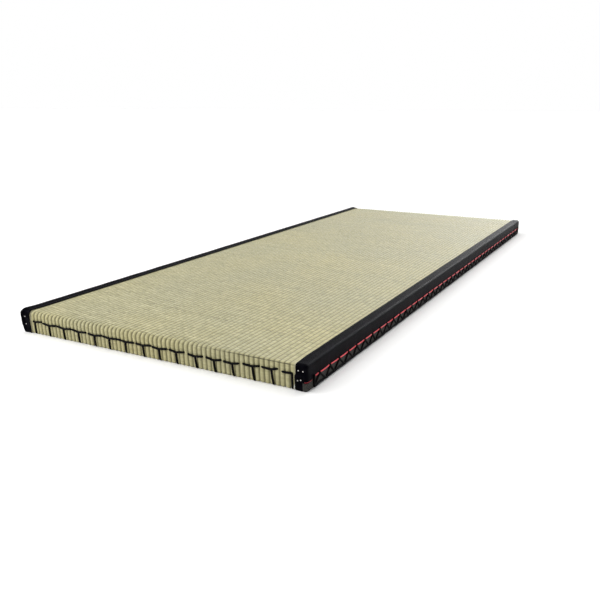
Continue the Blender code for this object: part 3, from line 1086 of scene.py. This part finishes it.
# %% Plate the pins
def nickel_material():
    material, shader, add = new_material("steel_nickel_plated")
    place = add("TexCoord")["Object"]
    wear = add("TexNoise", {"Vector": place, "Scale": 700.0, "Detail": 4.0})["Fac"]
    plate = add("ValToRGB", [wear], stops=((0, "A9A7A2"), (1, "D0CECA")))[0]
    rough = add("MapRange", {0: wear, 3: 0.22, 4: 0.45})[0]
    bump = add("Bump", {"Height": wear, "Distance": 0.05 * MM, "Strength": 0.3})[0]
    fill(shader, {"Base Color": plate, "Normal": bump, "Roughness": rough, "Metallic": 1.0})
    return material


nickel = nickel_material()
for name in pin_names:
    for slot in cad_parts[name].material_slots:
        slot.material = nickel
print("pins:", len(pin_names))

# %% [markdown]
# ## The studio
#
# The mat lies on a plain white floor in a white studio: a bright ceiling, dimmer low walls, a low
# window behind the mat, and one large soft lamp that shapes the ribs. All but the lamp are the
# world's light, which changes with its direction. To the eye the world is plain white.


# %% Floor, light and camera
def floor_material():
    material, shader, add = new_material("studio_floor_painted")
    place = add("TexCoord")["Object"]
    grain = add("TexNoise", {"Vector": place, "Scale": 40.0, "Detail": 2.0})["Fac"]
    paint = add("ValToRGB", [grain], stops=((0, "FBFBFA"), (1, "FDFDFC")))[0]
    bump = add("Bump", {"Height": grain, "Distance": 0.1 * MM, "Strength": 0.1})[0]
    fill(shader, {"Base Color": paint, "Normal": bump, "Roughness": 0.9})
    return material


def build_floor():
    reach = 40.0
    corners = [(-reach, -reach, 0), (reach, -reach, 0), (reach, reach, 0), (-reach, reach, 0)]
    floor = new_piece("studio_floor", np.array(corners), [(0, 1, 2, 3)], floor_material())


WINDOW = Vector((0.05, 0.95, 0.32))  # the way to it
WINDOW_GLOW = 9.0  # how much brighter than the walls
WALLS = ((0.0, 1.0), (1.0, 1.75), (0.14, 1.0), (0.165, 0.45), (0.5, 0.55), (0.72, 1.45))


def light_world():
    """The room's own light. WALLS pairs the sine of the height above the floor with a brightness."""
    world = bpy.data.worlds.new("white_studio")
    bpy.context.scene.world = world
    world.use_nodes = True
    add = partial(add_node, world.node_tree)
    toward = add("TexCoord")["Generated"]
    way = add("SeparateXYZ", [toward])
    levels = [(height, (level, level, level, 1.0)) for height, level in WALLS]
    walls = add("ValToRGB", [way["Z"]], stops=levels)[0]
    # The wall to the right is dim, so that every rib has a bright side and a dark one.
    dim = add("MapRange", [way["X"], 0.05, 0.4, 1.0, 0.42])[0]
    # The window stands behind the mat: its light grazes the top and silvers the far end.
    ways = [toward, WINDOW.normalized()]
    straight = add("VectorMath", ways, "DOT_PRODUCT")["Value"]
    edges = [straight, 0.92, 0.985, 0.0, WINDOW_GLOW]
    window = add("MapRange", edges, interpolation_type="SMOOTHSTEP")[0]
    glow = add("Math", [window, dim], "ADD")[0]
    glow = add("Math", [glow, walls], "MULTIPLY")[0]
    # To the eye the studio is plain white all round: only the light that it casts has a shape.
    seen = add("LightPath")["Is Camera Ray"]
    glow = add("Mix", {0: seen, 2: glow, 3: 1.0})[0]
    background = world.node_tree.nodes["Background"]
    fill(background, {"Color": (1.0, 1.0, 1.0, 1.0), "Strength": glow})


LAMP_PLACE = Vector((-2.9, -2.3, 1.7))  # it faces the middle of the mat
LAMP_SIZE = (3.0, 2.2)
LAMP_WATTS = 80


def add_soft_lamp():
    lamp = bpy.data.lights.new("soft_lamp", "AREA")
    lamp.shape = "RECTANGLE"
    lamp.size, lamp.size_y = LAMP_SIZE
    lamp.energy = LAMP_WATTS
    thing = new_object("soft_lamp", lamp)
    thing.location = LAMP_PLACE
    thing.rotation_mode = "QUATERNION"
    thing.rotation_quaternion = (-LAMP_PLACE).to_track_quat("-Z", "Y")


CAMERA_PLACE = Vector((0.9944, -2.1317, 0.5553))
CAMERA_AZIMUTH = math.radians(28.302)
CAMERA_ELEVATION = math.radians(15.868)
CAMERA_ROLL = math.radians(0.1225)
CAMERA_LENS = 41.85  # millimetres, on a full frame


def add_camera():
    azimuth, elevation = CAMERA_AZIMUTH, CAMERA_ELEVATION
    back = Vector((math.sin(azimuth), -math.cos(azimuth), 0)) * math.cos(elevation)
    back.z = math.sin(elevation)
    right = Vector((math.cos(azimuth), math.sin(azimuth), 0))
    up = back.cross(right)
    rolled_right = right * math.cos(CAMERA_ROLL) + up * math.sin(CAMERA_ROLL)
    camera = bpy.data.cameras.new("camera")
    camera.sensor_width = 36
    camera.lens = CAMERA_LENS
    thing = new_object("camera", camera)
    turned = Matrix((rolled_right, back.cross(rolled_right), back)).transposed()
    thing.matrix_world = Matrix.Translation(CAMERA_PLACE) @ turned.to_4x4()
    bpy.context.scene.camera = thing


build_floor()
light_world()
add_soft_lamp()
add_camera()
bpy.context.scene.view_settings.view_transform = "Standard"
print("studio ready")
